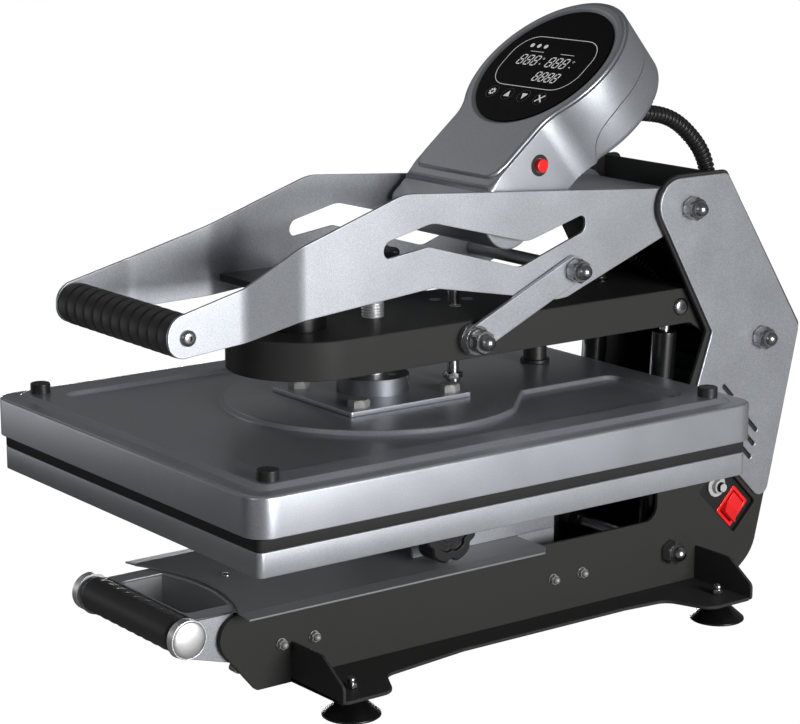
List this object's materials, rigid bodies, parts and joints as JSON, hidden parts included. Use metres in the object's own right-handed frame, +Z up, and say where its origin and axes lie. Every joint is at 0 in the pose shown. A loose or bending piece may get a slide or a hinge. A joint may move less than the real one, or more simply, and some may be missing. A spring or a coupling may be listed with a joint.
{
  "type": "auto-open heat press",
  "caption": "Swing-up heat press: heated plate on a pressure arm, bent lever with a round control head, magnet latch, gas lift and a pull-out drawer with the lower plate.",
  "frame": {"origin": "centre of the press's footprint, on the floor under its feet", "axes": "+X to the user's right, +Y to the rear, +Z up"},
  "size_m": [0.4128, 0.6955, 0.5508],
  "materials": {
    "silver_paint": "silver metallic powder coat",
    "black_paint": "satin black powder coat",
    "drawer_paint": "satin graphite powder coat",
    "cover_paint": "fine silver metallic powder coat",
    "platen_metal": "fine bead blasted",
    "chrome": "bright plated",
    "steel": "zinc plated",
    "dark_steel": "gloss black",
    "rubber": "matte black foam rubber",
    "silicone": "matte dark grey sponge",
    "black_plastic": "moulded black",
    "hose_plastic": "ribbed black conduit",
    "grey_plastic": "moulded light grey",
    "red_plastic": "gloss red",
    "circuit": "green board",
    "wool": "pressed mineral fibre",
    "display": "black glass with white markings"
  },
  "bodies": {
    "base": {"frame_right": "black_paint", "frame_left": "black_paint", "side_cover_right": "silver_paint", "side_cover_left": "silver_paint", "rear_housing": "black_paint", "foot_front_right": "rubber", "foot_front_left": "rubber", "foot_rear_right": "rubber", "foot_rear_left": "rubber", "lever_shaft": "chrome", "arm_shaft": "chrome", "spring_shaft": "chrome", "drawer_rail_right": "steel", "drawer_rail_left": "steel", "switch_body": "black_plastic", "breaker_body": "grey_plastic", "power_inlet": "black_plastic", "control_board": "circuit", "control_hose": "hose_plastic", "heater_hose": "hose_plastic"},
    "rocker": {"power_rocker": "red_plastic"},
    "reset": {"reset_button": "chrome"},
    "drawer": {"drawer_plate": "drawer_paint", "drawer_bracket": "silver_paint", "drawer_grip_core": "chrome", "drawer_grip": "rubber", "pedestal": "silver_paint", "lower_platen": "platen_metal", "silicone_pad": "silicone"},
    "clamp": {"clamp_knob": "black_plastic"},
    "arm": {"pressure_arm": "black_paint", "electromagnet": "dark_steel", "spring_pin": "chrome"},
    "upper": {"platen_cover": "cover_paint", "heating_plate": "platen_metal", "insulation_board": "wool", "mount_plate": "steel", "guide_rod": "steel", "cable_gland": "black_plastic"},
    "screw": {"pressure_screw": "steel", "pressure_knob": "black_plastic"},
    "lever": {"lever_plate_right": "silver_paint", "lever_plate_left": "silver_paint", "bridge_plate": "silver_paint", "tie_rod": "chrome", "armature_plate": "dark_steel", "lever_grip": "rubber", "grip_rod": "chrome", "head_front_shell": "silver_paint", "head_rear_shell": "silver_paint", "display_glass": "display"},
    "release": {"release_button": "red_plastic"},
    "links": {"link_right": "silver_paint", "link_left": "silver_paint", "link_bolt_right": "chrome", "link_bolt_left": "chrome"},
    "gas_cylinders": {"gas_cylinder_right": "dark_steel", "gas_cylinder_left": "dark_steel"},
    "gas_rods": {"gas_rod_right": "chrome", "gas_rod_left": "chrome"}
  },
  "joints": [
    {"name": "lever_swing", "type": "hinge", "parent": "base", "child": "lever", "pos_m": [0, 0.2025, 0.372], "axis": [-1, 0, 0], "range_deg": [0, 75], "deforming": ["control_hose"]},
    {"name": "arm_lift", "type": "hinge", "parent": "base", "child": "arm", "pos_m": [0, 0.2945, 0.243], "axis": [-1, 0, 0], "range_deg": [0, 28.95], "deforming": ["heater_hose"]},
    {"name": "link_swing", "type": "hinge", "parent": "lever", "child": "links", "pos_m": [0, 0.0695, 0.33], "axis": [1, 0, 0], "range_deg": [0, 77.3]},
    {"name": "spring_swing", "type": "hinge", "parent": "base", "child": "gas_cylinders", "pos_m": [0, 0.1895, 0.055], "axis": [-1, 0, 0], "range_deg": [0, 5.7]},
    {"name": "spring_stroke", "type": "slide", "parent": "gas_cylinders", "child": "gas_rods", "axis": [0, 0.0665, 0.9978], "range_m": [0, 0.0421]},
    {"name": "platen_lift", "type": "slide", "parent": "arm", "child": "upper", "axis": [0, 0, 1], "range_m": [0, 0.008]},
    {"name": "pressure_turn", "type": "hinge", "parent": "upper", "child": "screw", "pos_m": [0, -0.0915, 0.3], "axis": [0, 0, 1], "range_deg": [0, 720.5]},
    {"name": "drawer_slide", "type": "slide", "parent": "base", "child": "drawer", "axis": [0, -1, 0], "range_m": [0, 0.22]},
    {"name": "clamp_turn", "type": "hinge", "parent": "drawer", "child": "clamp", "pos_m": [0.06, -0.0695, 0.12], "axis": [1, 0, 0], "range_deg": [0, 720]},
    {"name": "power_rock", "type": "hinge", "parent": "base", "child": "rocker", "pos_m": [0.072, 0.2705, 0.083], "axis": [0, 0.7071, -0.7071], "range_deg": [0, 24]},
    {"name": "reset_press", "type": "slide", "parent": "base", "child": "reset", "axis": [-1, 0, 0], "range_m": [0, 0.003], "stiffness_N_per_m": 400, "springref_m": -0.002},
    {"name": "release_press", "type": "slide", "parent": "lever", "child": "release", "axis": [-1, 0, 0], "range_m": [0, 0.003], "stiffness_N_per_m": 400, "springref_m": -0.002}
  ],
  "couplings": [
    {"joint": "arm_lift", "follows": "lever_swing", "ratio": 0.3852},
    {"joint": "link_swing", "follows": "lever_swing", "ratio": 1.0288},
    {"joint": "spring_swing", "follows": "lever_swing", "ratio": 0.0756},
    {"joint": "spring_stroke", "follows": "lever_swing", "m_per_rad": 0.032109},
    {"joint": "pressure_turn", "follows": "platen_lift", "rad_per_m": 1570.8}
  ]
}
